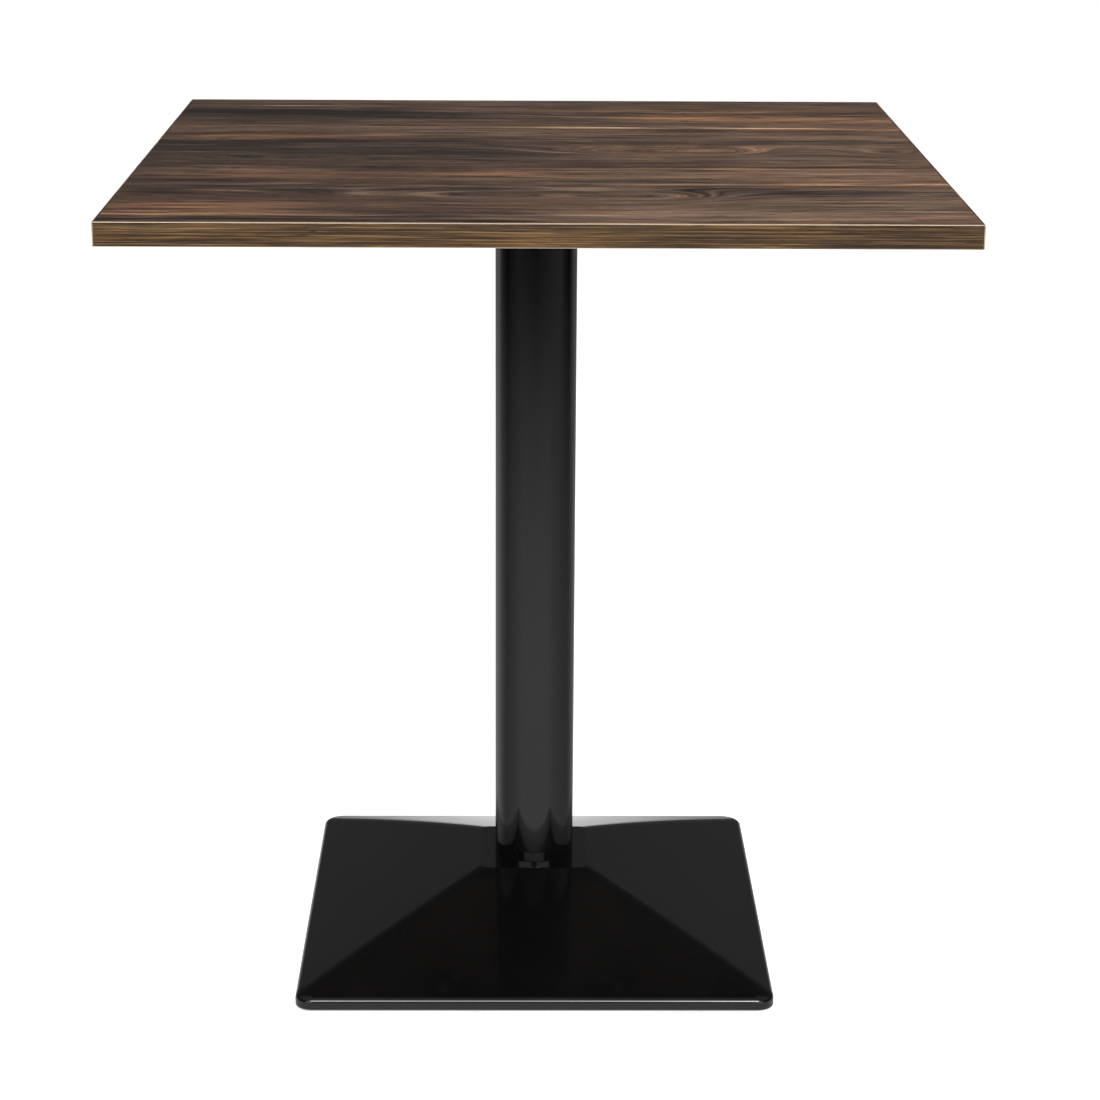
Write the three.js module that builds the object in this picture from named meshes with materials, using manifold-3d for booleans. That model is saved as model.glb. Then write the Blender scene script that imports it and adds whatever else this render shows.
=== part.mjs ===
// A square café table: a laminated top on one round steel column, over a low pyramid foot.
// Millimetres, +Z up, origin on the floor under the column. The front of the table faces -Y.
// The foot is a pressed-steel cover over a cast-iron ballast plate. One tie rod down the column
// clamps the mounting plate, the column, the cover and the ballast together.
import * as THREE from "three";
import { mergeVertices } from "three/addons/utils/BufferGeometryUtils.js";
import Module from "manifold-3d";

const wasm = await Module();
wasm.setup();

// ---------- driving dimensions ----------
const TABLE_HEIGHT = 745;
const TOP_SIDE = 700;
const TOP_THICKNESS = 20;
const LAMINATE = 1;
const EDGE_BAND = 2;
const EDGE_ARRIS = 1; // radius along the outer edges of the band
const TOP_CORNER = 1.5; // plan radius at the corners of the top

const COLUMN_RADIUS = 37.5;
const COLUMN_WALL = 1.5;

const FOOT_SIDE = 435;
const FOOT_CORNER = 16; // plan radius at the corners of the cover
const FOOT_RIM = 5; // radius where the skirt turns into the slope
const FOOT_RIM_CENTRE_Z = 7.5;
const FOOT_GAP = 2.5; // between the floor and the bottom of the skirt
const FLAT_HALF = 51; // half the side of the flat under the column
const FLAT_CORNER = 4;
const FLAT_Z = 70;
const COVER_SHEET = 2;

const BALLAST = { half: 185, corner: 30, bottom: 8, top: 18 };
const BALLAST_HUB = { bottomRadius: 44, topRadius: 30 };
const BALLAST_WEB = { width: 9, innerTop: 60, outerTop: 20, reach: 205 };
const BALLAST_POCKET = { radius: 20, ceiling: 26 };

const ROD_RADIUS = 5.9; // M12
const ROD_BORE = 6.5;
const ROD_BOTTOM = 9.5;
const ROD_TOP = 723;
const NUT = { flats: 18, height: 10.5, bore: 6.2 };
const WASHER_THICKNESS = 2.5;
const TOP_WASHER_RADIUS = 12;
const BOTTOM_WASHER_RADIUS = 17;

const PLATE_ARM = { reach: 160, width: 40, thickness: 5 };
const PLATE_FLANGE = { radius: 46, thickness: 10 };
const PLATE_SPIGOT = { radius: 35.7, bottom: 703 };
const PLATE_POCKET = { radius: 18, floor: 708 };
const PLATE_RIB = { width: 6, rootDepth: 9, reach: 128 };
const SCREW_PLACE = { along: 134, aside: 12 }; // two in each arm, one either side of its rib
const SCREW = { head: 4.2, headHeight: 2.8, shank: 2, length: 18, hole: 2.4 };

const CUP = { radius: 35.7, height: 10, wall: 2.5 };

const FOOT_OFFSET = 160; // levelling feet, from the column along X and along Y
const FOOT_BOSS = { radius: 14, top: 22.5 };
const STEM = { radius: 4, bore: 4.3, top: 24.5, flats: 15, collarBottom: 5.2 };
const STEM_BUTTON = { radius: 6, bottom: 1.8, top: 3.6 };
const PAD = { radius: 19, shoulder: 1.5, crown: 13, top: 5, socket: 6.4, lip: 4.4, lipZ: 3.9 };

const COLUMN_SIDES = 96;
const SMALL_SIDES = 32;
const CORNER_STEPS = 8;
const CORNERS = [
  { name: "front_left", x: -1, y: -1 },
  { name: "front_right", x: 1, y: -1 },
  { name: "back_right", x: 1, y: 1 },
  { name: "back_left", x: -1, y: 1 },
];

// ---------- worked-out dimensions ----------
const TOP_HALF = TOP_SIDE / 2;
const CORE_HALF = TOP_HALF - EDGE_BAND;
const TOP_UNDERSIDE = TABLE_HEIGHT - TOP_THICKNESS;
const COLUMN_TOP = TOP_UNDERSIDE - PLATE_FLANGE.thickness;
const HEX_CORNER = (flats) => flats / 2 / Math.cos(Math.PI / 6);

// ---------- materials ----------
const material = (color, roughness, metalness) =>
  new THREE.MeshStandardMaterial({ color, roughness, metalness });
const WOOD_LAMINATE = material(0x4d3b2c, 0.5, 0);
const BACKING = material(0x2e2620, 0.7, 0);
const CHIPBOARD = material(0xb08d5f, 0.9, 0);
const EDGING = material(0x4a3a22, 0.5, 0);
const BLACK_PAINT = material(0x0a0a0a, 0.2, 0.3);
const CAST_IRON = material(0x2b2b2c, 0.8, 0.6);
const ZINC = material(0xb4b7ba, 0.35, 1);
const PLASTIC = material(0x151515, 0.6, 0);

// ---------- geometry helpers ----------
function solid(geometry) {
  const bare = geometry.clone();
  bare.deleteAttribute("normal");
  bare.deleteAttribute("uv");
  const merged = mergeVertices(bare, 1e-4);
  return new wasm.Manifold(
    new wasm.Mesh({
      numProp: 3,
      vertProperties: new Float32Array(merged.attributes.position.array),
      triVerts: new Uint32Array(merged.index.array),
    }),
  );
}

function geometryOf(shape) {
  const mesh = shape.getMesh();
  return new THREE.BufferGeometry()
    .setAttribute("position", new THREE.BufferAttribute(mesh.vertProperties, 3))
    .setIndex(new THREE.BufferAttribute(mesh.triVerts, 1));
}

const join = (...parts) => geometryOf(parts.map(solid).reduce((all, next) => all.add(next)));
const cut = (body, ...tools) =>
  geometryOf(tools.map(solid).reduce((left, tool) => left.subtract(tool), solid(body)));
const common = (a, b) => geometryOf(solid(a).intersect(solid(b)));

// A solid of revolution about Z: the profile is [radius, z] points, up the outside.
function turned(profile, sides = SMALL_SIDES) {
  const points = profile.map(([radius, z]) => new THREE.Vector2(radius, z));
  return new THREE.LatheGeometry(points, sides).rotateX(Math.PI / 2);
}

const rod = (radius, bottom, top, sides = SMALL_SIDES) =>
  turned([[0, bottom], [radius, bottom], [radius, top], [0, top]], sides);

const ring = (inner, outer, bottom, top, sides = SMALL_SIDES) =>
  turned([[inner, bottom], [outer, bottom], [outer, top], [inner, top], [inner, bottom]], sides);

function hexagon(flats, bottom, top) {
  const corner = HEX_CORNER(flats);
  return turned([[0, bottom], [corner, bottom], [corner, top], [0, top]], 6);
}

function box(x0, x1, y0, y1, z0, z1) {
  return new THREE.BoxGeometry(x1 - x0, y1 - y0, z1 - z0).translate(
    (x0 + x1) / 2,
    (y0 + y1) / 2,
    (z0 + z1) / 2,
  );
}

// The corners of a square with rounded corners, counter-clockwise seen from above.
function roundedSquare({ half, corner, z }) {
  const points = [];
  for (let quarter = 0; quarter < 4; quarter++) {
    for (let step = 0; step <= CORNER_STEPS; step++) {
      const turn = ((quarter + step / CORNER_STEPS) * Math.PI) / 2;
      const [sx, sy] = [[1, 1], [-1, 1], [-1, -1], [1, -1]][quarter];
      points.push([
        sx * (half - corner) + corner * Math.cos(turn),
        sy * (half - corner) + corner * Math.sin(turn),
        z,
      ]);
    }
  }
  return points;
}

// A skin through rounded squares, each { half, corner, z }. An open loft is capped at both
// ends. A closed one joins its last square to its first, and so has a hole down its middle.
function loft(squares, closed) {
  const rows = squares.map(roundedSquare);
  const count = rows[0].length;
  const positions = rows.flat(2);
  const faces = [];
  const spans = closed ? rows.length : rows.length - 1;
  for (let row = 0; row < spans; row++) {
    const below = row * count;
    const above = ((row + 1) % rows.length) * count;
    for (let i = 0; i < count; i++) {
      const next = (i + 1) % count;
      faces.push(below + i, below + next, above + next, below + i, above + next, above + i);
    }
  }
  if (!closed) {
    const last = (rows.length - 1) * count;
    for (let i = 1; i < count - 1; i++) {
      faces.push(0, i + 1, i);
      faces.push(last, last + i, last + i + 1);
    }
  }
  return new THREE.BufferGeometry()
    .setAttribute("position", new THREE.Float32BufferAttribute(positions, 3))
    .setIndex(faces);
}

// ---------- the table ----------
const table = new THREE.Group();
table.name = "bistro_table";

function add(name, geometry, finish, parent = table) {
  const mesh = new THREE.Mesh(geometry, finish);
  mesh.name = name;
  parent.add(mesh);
}

// Screw places in the arms of the mounting plate, which reach for the corners of the top.
const screwPlaces = CORNERS.flatMap(({ x, y }) =>
  [-SCREW_PLACE.aside, SCREW_PLACE.aside].map((aside) => [
    (x * SCREW_PLACE.along - y * aside) * Math.SQRT1_2,
    (y * SCREW_PLACE.along + x * aside) * Math.SQRT1_2,
  ]),
);

// Chipboard core, a decorative sheet above it and a backing sheet below it.
function buildTop() {
  const coreBottom = TOP_UNDERSIDE + LAMINATE;
  const coreTop = TABLE_HEIGHT - LAMINATE;
  const slab = (z0, z1) => box(-CORE_HALF, CORE_HALF, -CORE_HALF, CORE_HALF, z0, z1);
  const pilots = screwPlaces.map(([x, y]) =>
    rod(SCREW.hole, TOP_UNDERSIDE - 5, TOP_UNDERSIDE + SCREW.length - 3, 16).translate(x, y, 0),
  );
  add("top_core", cut(slab(coreBottom, coreTop), ...pilots), CHIPBOARD);
  add("top_laminate", slab(coreTop, TABLE_HEIGHT), WOOD_LAMINATE);
  add("underside_laminate", cut(slab(TOP_UNDERSIDE, coreBottom), ...pilots), BACKING);
}

// Four strips of edge band: the front and back ones run the full width, over the side ones.
function buildEdgeBands() {
  const arris = (bottom) =>
    [0, 1, 2, 3, 4].map((step) => {
      const turn = ((bottom ? step - 4 : step) * Math.PI) / 8;
      const centre = bottom ? TOP_UNDERSIDE + EDGE_ARRIS : TABLE_HEIGHT - EDGE_ARRIS;
      const inset = EDGE_ARRIS * (1 - Math.cos(turn));
      return {
        half: TOP_HALF - inset,
        corner: TOP_CORNER - inset,
        z: centre + EDGE_ARRIS * Math.sin(turn),
      };
    });
  const outline = loft([...arris(true), ...arris(false)], false);
  const strip = (x0, x1, y0, y1) =>
    common(outline, box(x0, x1, y0, y1, TOP_UNDERSIDE - 1, TABLE_HEIGHT + 1));
  const far = TOP_HALF + 1;
  add("edge_band_front", strip(-far, far, -far, -CORE_HALF), EDGING);
  add("edge_band_back", strip(-far, far, CORE_HALF, far), EDGING);
  add("edge_band_left", strip(-far, -CORE_HALF, -CORE_HALF, CORE_HALF), EDGING);
  add("edge_band_right", strip(CORE_HALF, far, -CORE_HALF, CORE_HALF), EDGING);
}

// Cast cross under the top: four ribbed arms, a flange that the column butts against, a spigot
// that centres the column, and a pocket above it for the tie rod's nut.
function buildMountingPlate() {
  const armBottom = TOP_UNDERSIDE - PLATE_ARM.thickness;
  const arms = CORNERS.slice(0, 2).map(({ x, y }) => {
    const half = PLATE_ARM.width / 2;
    const straight = PLATE_ARM.reach - half;
    const outline = new THREE.Shape()
      .moveTo(-straight, -half)
      .lineTo(straight, -half)
      .absarc(straight, 0, half, -Math.PI / 2, Math.PI / 2, false)
      .lineTo(-straight, half)
      .absarc(-straight, 0, half, Math.PI / 2, (Math.PI * 3) / 2, false);
    const bar = new THREE.ExtrudeGeometry(outline, {
      depth: PLATE_ARM.thickness,
      bevelEnabled: false,
      curveSegments: 12,
    });
    return bar.rotateZ(Math.atan2(y, x)).translate(0, 0, armBottom);
  });
  const ribs = CORNERS.map(({ x, y }) => {
    const outline = new THREE.Shape()
      .moveTo(0, armBottom + 1)
      .lineTo(0, armBottom - PLATE_RIB.rootDepth)
      .lineTo(PLATE_FLANGE.radius, armBottom - PLATE_RIB.rootDepth)
      .lineTo(PLATE_RIB.reach, armBottom)
      .lineTo(PLATE_RIB.reach, armBottom + 1);
    const rib = new THREE.ExtrudeGeometry(outline, { depth: PLATE_RIB.width, bevelEnabled: false });
    return rib
      .translate(0, 0, -PLATE_RIB.width / 2)
      .rotateX(Math.PI / 2)
      .rotateZ(Math.atan2(y, x));
  });
  const blank = join(
    ...arms,
    ...ribs,
    rod(PLATE_FLANGE.radius, COLUMN_TOP, TOP_UNDERSIDE, 64),
  );
  // The ribs stop at the flange, so that the end of the column is clear.
  const columnSeat = rod(COLUMN_RADIUS + 2, PLATE_SPIGOT.bottom - 10, COLUMN_TOP, 64);
  const body = join(
    cut(blank, columnSeat),
    rod(PLATE_SPIGOT.radius, PLATE_SPIGOT.bottom, COLUMN_TOP + 1, 64),
  );
  const holes = screwPlaces.map(([x, y]) =>
    rod(SCREW.hole, COLUMN_TOP - 20, TOP_UNDERSIDE + 1, 16).translate(x, y, 0),
  );
  add(
    "mounting_plate",
    cut(
      body,
      rod(PLATE_POCKET.radius, PLATE_POCKET.floor, TOP_UNDERSIDE + 1, 48),
      rod(ROD_BORE, PLATE_SPIGOT.bottom - 1, PLATE_POCKET.floor + 1),
      ...holes,
    ),
    CAST_IRON,
  );
}

// Pan-head wood screws, up through the arms into the core.
function buildPlateScrews() {
  const seat = TOP_UNDERSIDE - PLATE_ARM.thickness;
  const tip = seat + SCREW.length;
  screwPlaces.forEach(([x, y], index) => {
    const group = new THREE.Group();
    group.position.set(x, y, 0);
    table.add(group);
    const profile = [
      [0, seat - SCREW.headHeight],
      [SCREW.head * 0.6, seat - SCREW.headHeight],
      [SCREW.head * 0.92, seat - SCREW.headHeight * 0.7],
      [SCREW.head, seat - SCREW.headHeight * 0.25],
      [SCREW.head, seat],
      [SCREW.shank, seat],
      [SCREW.shank, tip - 3.5],
      [0, tip],
    ];
    add("plate_screw_" + (index + 1), turned(profile, 16), ZINC, group);
  });
}

// The column, the cup that centres its foot, and the tie rod with a nut and washer at each end.
function buildColumn() {
  const inner = COLUMN_RADIUS - COLUMN_WALL;
  add("column_tube", ring(inner, COLUMN_RADIUS, FLAT_Z, COLUMN_TOP, COLUMN_SIDES), BLACK_PAINT);
  const cup = [
    [ROD_BORE, FLAT_Z],
    [CUP.radius, FLAT_Z],
    [CUP.radius, FLAT_Z + CUP.height],
    [CUP.radius - CUP.wall, FLAT_Z + CUP.height],
    [CUP.radius - CUP.wall, FLAT_Z + CUP.wall],
    [ROD_BORE, FLAT_Z + CUP.wall],
    [ROD_BORE, FLAT_Z],
  ];
  add("column_centring_cup", turned(cup, 48), ZINC);
  const chamfer = 1;
  const tieRod = [
    [0, ROD_BOTTOM],
    [ROD_RADIUS - chamfer, ROD_BOTTOM],
    [ROD_RADIUS, ROD_BOTTOM + chamfer],
    [ROD_RADIUS, ROD_TOP - chamfer],
    [ROD_RADIUS - chamfer, ROD_TOP],
    [0, ROD_TOP],
  ];
  add("tie_rod", turned(tieRod, 24), ZINC);
}

function buildRodFasteners() {
  const nut = (bottom) =>
    cut(
      hexagon(NUT.flats, bottom, bottom + NUT.height),
      rod(NUT.bore, bottom - 1, bottom + NUT.height + 1),
    );
  const topWasher = PLATE_POCKET.floor;
  add(
    "top_washer",
    ring(ROD_BORE, TOP_WASHER_RADIUS, topWasher, topWasher + WASHER_THICKNESS),
    ZINC,
  );
  add("top_nut", nut(topWasher + WASHER_THICKNESS), ZINC);
  const bottomWasher = BALLAST_POCKET.ceiling - WASHER_THICKNESS;
  add(
    "bottom_washer",
    ring(ROD_BORE, BOTTOM_WASHER_RADIUS, bottomWasher, BALLAST_POCKET.ceiling),
    ZINC,
  );
  add("bottom_nut", nut(bottomWasher - NUT.height), ZINC);
}

// Pressed cover: a short upright skirt, a rounded rim, four slopes and a flat top with a hole.
function buildBaseCover() {
  const rimHalf = FOOT_SIDE / 2 - FOOT_RIM;
  // The slope leaves the rim as a tangent: rise and run to the edge of the flat give its angle.
  const run = rimHalf - FLAT_HALF;
  const rise = FLAT_Z - FOOT_RIM_CENTRE_Z;
  const slope = Math.atan2(rise, run) - Math.asin(FOOT_RIM / Math.hypot(rise, run));
  const rimSteps = 6;
  // The squares of one skin, inset everywhere by the given depth.
  const skin = (inset) => {
    const radius = FOOT_RIM - inset;
    const squares = [{ half: FOOT_SIDE / 2 - inset, corner: FOOT_CORNER - inset, z: FOOT_GAP }];
    for (let step = 0; step <= rimSteps; step++) {
      const turn = (step / rimSteps) * (Math.PI / 2 - slope);
      const half = rimHalf + radius * Math.cos(turn);
      squares.push({
        half,
        corner: FOOT_CORNER + half - FOOT_SIDE / 2,
        z: FOOT_RIM_CENTRE_Z + radius * Math.sin(turn),
      });
    }
    const flat = FLAT_HALF - inset * Math.tan(slope / 2);
    squares.push({ half: flat, corner: FLAT_CORNER, z: FLAT_Z - inset });
    squares.push({ half: ROD_BORE, corner: ROD_BORE, z: FLAT_Z - inset });
    return squares;
  };
  add("base_cover", loft([...skin(0), ...skin(COVER_SHEET).reverse()], true), BLACK_PAINT);
}

// Cast plate under the cover, with a hub up to the flat, webs out to the feet, a threaded boss
// over each foot and a pocket underneath for the tie rod's lower nut.
function buildBallast() {
  const hubTop = FLAT_Z - COVER_SHEET;
  const { half, corner, bottom, top } = BALLAST;
  const plate = loft(
    [
      { half, corner, z: bottom },
      { half, corner, z: top - 2 },
      { half: half - 2, corner: corner - 2, z: top },
    ],
    false,
  );
  const hub = turned(
    [
      [0, bottom + 1],
      [BALLAST_HUB.bottomRadius, bottom + 1],
      [BALLAST_HUB.bottomRadius, top + 4],
      [BALLAST_HUB.topRadius, top + 22],
      [BALLAST_HUB.topRadius, hubTop],
      [0, hubTop],
    ],
    48,
  );
  const webs = CORNERS.map(({ x, y }) => {
    const outline = new THREE.Shape()
      .moveTo(0, bottom + 2)
      .lineTo(BALLAST_WEB.reach, bottom + 2)
      .lineTo(BALLAST_WEB.reach, BALLAST_WEB.outerTop)
      .lineTo(BALLAST_HUB.topRadius - 2, BALLAST_WEB.innerTop)
      .lineTo(0, BALLAST_WEB.innerTop);
    const web = new THREE.ExtrudeGeometry(outline, {
      depth: BALLAST_WEB.width,
      bevelEnabled: false,
    });
    return web
      .translate(0, 0, -BALLAST_WEB.width / 2)
      .rotateX(Math.PI / 2)
      .rotateZ(Math.atan2(y, x));
  });
  const places = CORNERS.map(({ x, y }) => [x * FOOT_OFFSET, y * FOOT_OFFSET]);
  const bosses = places.map(([x, y]) =>
    rod(FOOT_BOSS.radius, bottom + 1, FOOT_BOSS.top, 24).translate(x, y, 0),
  );
  const threads = places.map(([x, y]) =>
    rod(STEM.bore, bottom - 1, FOOT_BOSS.top + 1).translate(x, y, 0),
  );
  add(
    "ballast_plate",
    cut(
      join(plate, hub, ...webs, ...bosses),
      rod(BALLAST_POCKET.radius, bottom - 1, BALLAST_POCKET.ceiling, 48),
      rod(ROD_BORE, bottom, hubTop + 1),
      ...threads,
    ),
    CAST_IRON,
  );
}

// Levelling feet: a plastic pad that a steel screw turns in and lowers.
function buildLevellingFeet() {
  const padProfile = [
    [0, 0],
    [PAD.radius, 0],
    [PAD.radius, PAD.shoulder],
    [PAD.crown, PAD.top],
    [PAD.lip, PAD.top],
    [PAD.lip, PAD.lipZ],
    [PAD.socket, PAD.lipZ],
    [PAD.socket, STEM_BUTTON.bottom],
    [0, STEM_BUTTON.bottom],
  ];
  const stemProfile = [
    [0, STEM_BUTTON.bottom],
    [STEM_BUTTON.radius, STEM_BUTTON.bottom],
    [STEM_BUTTON.radius, STEM_BUTTON.top],
    [STEM.radius, STEM_BUTTON.top],
    [STEM.radius, STEM.top - 1],
    [STEM.radius - 1, STEM.top],
    [0, STEM.top],
  ];
  const collar = hexagon(STEM.flats, STEM.collarBottom, BALLAST.bottom);
  for (const { name, x, y } of CORNERS) {
    const foot = new THREE.Group();
    foot.position.set(x * FOOT_OFFSET, y * FOOT_OFFSET, 0);
    table.add(foot);
    add("foot_pad_" + name, turned(padProfile), PLASTIC, foot);
    add("foot_screw_" + name, join(turned(stemProfile, 24), collar), ZINC, foot);
  }
}

buildTop();
buildEdgeBands();
buildMountingPlate();
buildPlateScrews();
buildColumn();
buildRodFasteners();
buildBaseCover();
buildBallast();
buildLevellingFeet();

export default table;
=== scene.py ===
# The looks of a square café table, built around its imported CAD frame.
# Metres, +Z up, the origin on the floor under the column, the front facing -Y.
import math

import bmesh
import bpy
from mathutils import Matrix, Vector, noise


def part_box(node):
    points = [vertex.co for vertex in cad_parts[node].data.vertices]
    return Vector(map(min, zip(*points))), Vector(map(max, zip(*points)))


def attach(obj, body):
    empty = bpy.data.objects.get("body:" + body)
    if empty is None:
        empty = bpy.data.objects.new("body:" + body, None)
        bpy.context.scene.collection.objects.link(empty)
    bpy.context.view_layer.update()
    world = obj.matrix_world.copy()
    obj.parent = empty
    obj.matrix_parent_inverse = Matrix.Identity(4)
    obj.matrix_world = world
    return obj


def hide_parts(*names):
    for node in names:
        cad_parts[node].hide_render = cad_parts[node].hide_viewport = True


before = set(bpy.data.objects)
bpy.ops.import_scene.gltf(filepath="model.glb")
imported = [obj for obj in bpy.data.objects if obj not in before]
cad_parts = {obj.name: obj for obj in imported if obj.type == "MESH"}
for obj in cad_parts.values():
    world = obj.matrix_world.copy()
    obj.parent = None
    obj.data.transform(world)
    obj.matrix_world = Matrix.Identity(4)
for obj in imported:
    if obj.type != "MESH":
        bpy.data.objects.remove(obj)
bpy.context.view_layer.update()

MM = 0.001

# ---------- sizes, worked out from the frame ----------
_, laminate_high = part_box("top_laminate")
strip_low, strip_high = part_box("edge_band_front")
column_low, column_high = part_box("column_tube")
cover_low, cover_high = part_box("base_cover")

TABLE_HEIGHT = strip_high.z
TOP_UNDERSIDE = strip_low.z
TOP_HALF = strip_high.x
CORE_HALF = laminate_high.x
COLUMN_RADIUS = column_high.x
COVER_HALF = cover_high.x
FLAT_Z = cover_high.z

# ---------- detail sizes ----------
BAND_ARRIS = 1 * MM
BAND_CORNER = 1.5 * MM
BAND_RIDGES = 12
BAND_RIDGE_DEPTH = 0.04 * MM
ARC_STEPS = 6

COLUMN_WALL = 1.5 * MM
COVER_SHEET = 2 * MM
COVER_CORNER = 16 * MM
COVER_RIM = 7 * MM
COVER_RIM_Z = 8 * MM
COVER_CROWN = 1.8 * MM
COVER_FLAT_HALF = 51 * MM
COVER_FLAT_CORNER = 8 * MM
COVER_FLAT_EASE = 2.5 * MM
ROD_BORE = 6.5 * MM

CASTING_LUMP = 4 * MM
CASTING_SWAY = 0.10 * MM
ORANGE_PEEL = 0.0015 * MM

WOOD_SCREWS = 8
# Each wood screw stops at a different turn, this many radians on from the one before.
SCREW_TURN = 0.7


# ---------- materials: a short way to write node trees ----------
class Wire:
    """One value in a node tree. Each sum or product of a wire and a wire or number is a Math node."""

    def __init__(self, tree, socket):
        self.tree = tree
        self.socket = socket

    def __add__(self, other):
        return calculate("ADD", self, other)

    def __sub__(self, other):
        return calculate("SUBTRACT", self, other)

    def __mul__(self, other):
        return calculate("MULTIPLY", self, other)

    def __truediv__(self, other):
        return calculate("DIVIDE", self, other)

    def to_the(self, power):
        """The value raised to a power."""
        return calculate("POWER", self, power)

    def size(self):
        """The value without its sign."""
        return calculate("ABSOLUTE", self)

    def ramp(self, low, high, start=0.0, end=1.0):
        """start below low, end above high, and a smooth change between them."""
        node = self.tree.nodes.new("ShaderNodeMapRange")
        node.interpolation_type = "SMOOTHSTEP"
        for name, value in (("From Min", low), ("From Max", high), ("To Min", start), ("To Max", end)):
            connect(self.tree, value, node.inputs[name])
        connect(self.tree, self, node.inputs["Value"])
        return Wire(self.tree, node.outputs["Result"])

    def colours(self, *stops):
        """A colour for each value: stops are (place, sRGB colour)."""
        return self.gradient([(place, linear(colour)) for place, colour in stops])

    def gradient(self, stops):
        """A colour for each value: stops are (place, linear RGBA)."""
        node = self.tree.nodes.new("ShaderNodeValToRGB")
        elements = node.color_ramp.elements
        while len(elements) < len(stops):
            elements.new(1.0)
        for element, (place, colour) in zip(elements, stops):
            element.position = place
            element.color = colour
        connect(self.tree, self, node.inputs["Fac"])
        return Wire(self.tree, node.outputs["Color"])


def connect(tree, value, socket):
    """Links a wire to a socket, or sets the socket to a number or colour."""
    if isinstance(value, Wire):
        tree.links.new(value.socket, socket)
    else:
        socket.default_value = value


def calculate(operation, *values):
    """A Math node on wires and numbers."""
    tree = next(value.tree for value in values if isinstance(value, Wire))
    node = tree.nodes.new("ShaderNodeMath")
    node.operation = operation
    for socket, value in zip(node.inputs, values):
        connect(tree, value, socket)
    return Wire(tree, node.outputs[0])


def blend(share, first, second):
    """first where share is 0 and second where it is 1."""
    node = share.tree.nodes.new("ShaderNodeMix")
    node.data_type = "FLOAT"
    for socket, value in zip((node.inputs[0], node.inputs[2], node.inputs[3]), (share, first, second)):
        connect(share.tree, value, socket)
    return Wire(share.tree, node.outputs[0])


def bell(squares):
    """A smooth hump: 1 where the sum of squares is 0, fading out past 1."""
    return calculate("EXPONENT", squares * -1.0)


def linear(colour):
    """An sRGB colour of 0 to 255 a channel, as the linear RGBA that Blender takes."""

    def channel(value):
        value /= 255
        return value / 12.92 if value <= 0.04045 else ((value + 0.055) / 1.055) ** 2.4

    return (*(channel(value) for value in colour), 1.0)


class Paint:
    """A new material: its surface shader, its object coordinates and the textures made from them."""

    def __init__(self, name, **settings):
        self.material = bpy.data.materials.new(name)
        self.material.use_nodes = True
        self.tree = self.material.node_tree
        self.shader = self.tree.nodes["Principled BSDF"]
        self.set(**settings)
        coordinates = self.tree.nodes.new("ShaderNodeTexCoord")
        parts = self.tree.nodes.new("ShaderNodeSeparateXYZ")
        self.tree.links.new(coordinates.outputs["Object"], parts.inputs[0])
        self.x, self.y, self.z = (Wire(self.tree, output) for output in parts.outputs)

    def set(self, **settings):
        """Sets or links the shader's sockets, named with _ for each space."""
        for name, value in settings.items():
            connect(self.tree, value, self.shader.inputs[name.replace("_", " ")])

    def vector(self, x, y, z=0.0):
        """Three values as one vector."""
        node = self.tree.nodes.new("ShaderNodeCombineXYZ")
        for socket, value in zip(node.inputs, (x, y, z)):
            connect(self.tree, value, socket)
        return Wire(self.tree, node.outputs[0])

    def scaled(self, x, y=None, z=None):
        """The object coordinates, in units of 1/x, 1/y and 1/z metres."""
        return self.vector(self.x * x, self.y * (y or x), self.z * (z or x))

    def noise(self, vector, detail=2.0, roughness=0.5):
        """Soft noise about one unit across, from 0 to 1 and mostly near a half."""
        node = self.tree.nodes.new("ShaderNodeTexNoise")
        connect(self.tree, vector, node.inputs["Vector"])
        for name, value in (("Detail", detail), ("Roughness", roughness), ("Scale", 1.0)):
            node.inputs[name].default_value = value
        return Wire(self.tree, node.outputs["Fac"])

    def ripple(self, strength, x, y, z=0.0, detail=1.0):
        """Soft noise that swings either side of 0, by up to half the strength."""
        return (self.noise(self.vector(x, y, z), detail) - 0.5) * strength

    def cells(self, vector):
        """Random cells about one unit across, each with its own value from 0 to 1."""
        node = self.tree.nodes.new("ShaderNodeTexVoronoi")
        connect(self.tree, vector, node.inputs["Vector"])
        node.inputs["Scale"].default_value = 1.0
        channels = self.tree.nodes.new("ShaderNodeSeparateColor")
        self.tree.links.new(node.outputs["Color"], channels.inputs[0])
        return Wire(self.tree, channels.outputs[0])

    def mix(self, share, first, second):
        """The first colour where share is 0 and the second where it is 1."""
        node = self.tree.nodes.new("ShaderNodeMix")
        node.data_type = "RGBA"
        inputs = [socket for socket in node.inputs if socket.type == "RGBA"]
        connect(self.tree, share, node.inputs[0])
        connect(self.tree, first, inputs[0])
        connect(self.tree, second, inputs[1])
        return Wire(self.tree, next(socket for socket in node.outputs if socket.type == "RGBA"))

    def bump(self, height, depth):
        """Relief: the height runs from 0 to 1, and depth is what 1 stands for, in metres."""
        node = self.tree.nodes.new("ShaderNodeBump")
        node.inputs["Strength"].default_value = 1.0
        node.inputs["Distance"].default_value = depth
        connect(self.tree, height, node.inputs["Height"])
        self.tree.links.new(node.outputs["Normal"], self.shader.inputs["Normal"])


# ---------- the wood figure of the top ----------
# Places on the top run from -1 to 1: u from left to right, v from front to back.
# Cathedrals: the grain bends round each of these, (u, v, length left, length right, width, height).
CATHEDRALS = (
    (0.25, -0.66, 0.85, 0.20, 0.085, 0.22),
    (0.46, 0.03, 0.50, 0.16, 0.075, 0.17),
    (0.92, 0.02, 0.16, 0.12, 0.06, 0.08),
    (-0.60, -0.10, 0.30, 0.12, 0.04, 0.06),
    (0.42, 0.66, 0.50, 0.40, 0.08, 0.07),
)
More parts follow.
